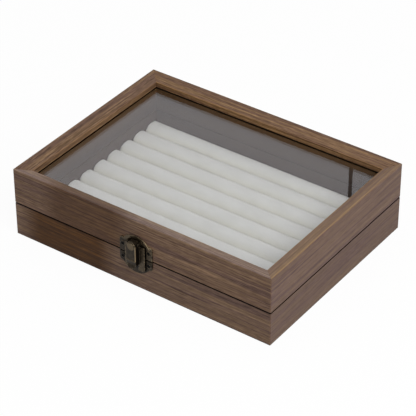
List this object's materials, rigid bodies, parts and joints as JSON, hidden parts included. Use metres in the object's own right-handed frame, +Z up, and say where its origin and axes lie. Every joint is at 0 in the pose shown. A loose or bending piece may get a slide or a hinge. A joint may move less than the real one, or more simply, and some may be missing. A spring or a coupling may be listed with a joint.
{
  "type": "ring display box",
  "caption": "Low hardwood box with a hinged glass-topped lid over soft rolls that hold finger rings upright, closed by a small hasp latch at the front.",
  "frame": {"origin": "middle of the underside, on the surface that the box stands on", "axes": "+X runs along the long front to the right as seen from the front, -Y points out of the front with the latch, +Z is up"},
  "size_m": [0.224, 0.1797, 0.0568],
  "materials": {
    "walnut": "walnut-stained hardwood, satin lacquer, grain along each board",
    "plywood": "thin bare plywood",
    "backing_card": "plain grey card",
    "roll_fabric": "off-white short-pile velvet over soft foam",
    "clear_glass": "clear float glass",
    "antique_bronze": "antique bronze plating, worn bright on the raised edges"
  },
  "bodies": {
    "tray": {"tray_front_wall": "walnut", "tray_back_wall": "walnut", "tray_left_wall": "walnut", "tray_right_wall": "walnut", "bottom_panel": "plywood", "roll_card": "backing_card", "ring_roll_1": "roll_fabric", "ring_roll_2": "roll_fabric", "ring_roll_3": "roll_fabric", "ring_roll_4": "roll_fabric", "ring_roll_5": "roll_fabric", "ring_roll_6": "roll_fabric", "ring_roll_7": "roll_fabric", "ring_roll_8": "roll_fabric", "ring_roll_9": "roll_fabric", "latch_catch_plate": "antique_bronze", "latch_catch_nails": "antique_bronze", "hinge_tray_leaf_left": "antique_bronze", "hinge_tray_leaf_right": "antique_bronze", "hinge_pin_left": "antique_bronze", "hinge_pin_right": "antique_bronze", "hinge_tray_screws": "antique_bronze"},
    "lid": {"lid_front_rail": "walnut", "lid_back_rail": "walnut", "lid_left_rail": "walnut", "lid_right_rail": "walnut", "glass_pane": "clear_glass", "latch_top_plate": "antique_bronze", "latch_top_nails": "antique_bronze", "latch_pivot_pin": "antique_bronze", "hinge_lid_leaf_left": "antique_bronze", "hinge_lid_leaf_right": "antique_bronze", "hinge_lid_screws": "antique_bronze"},
    "hasp": {"latch_hasp": "antique_bronze"}
  },
  "joints": [
    {"name": "lid_hinge", "type": "hinge", "parent": "tray", "child": "lid", "pos_m": [0, 0.0859, 0.0277], "axis": [-1, 0, 0], "range_deg": [0, 100]},
    {"name": "hasp_swing", "type": "hinge", "parent": "lid", "child": "hasp", "pos_m": [-0.0011, -0.0878, 0.0406], "axis": [-1, 0, 0], "range_deg": [0, 105]}
  ]
}
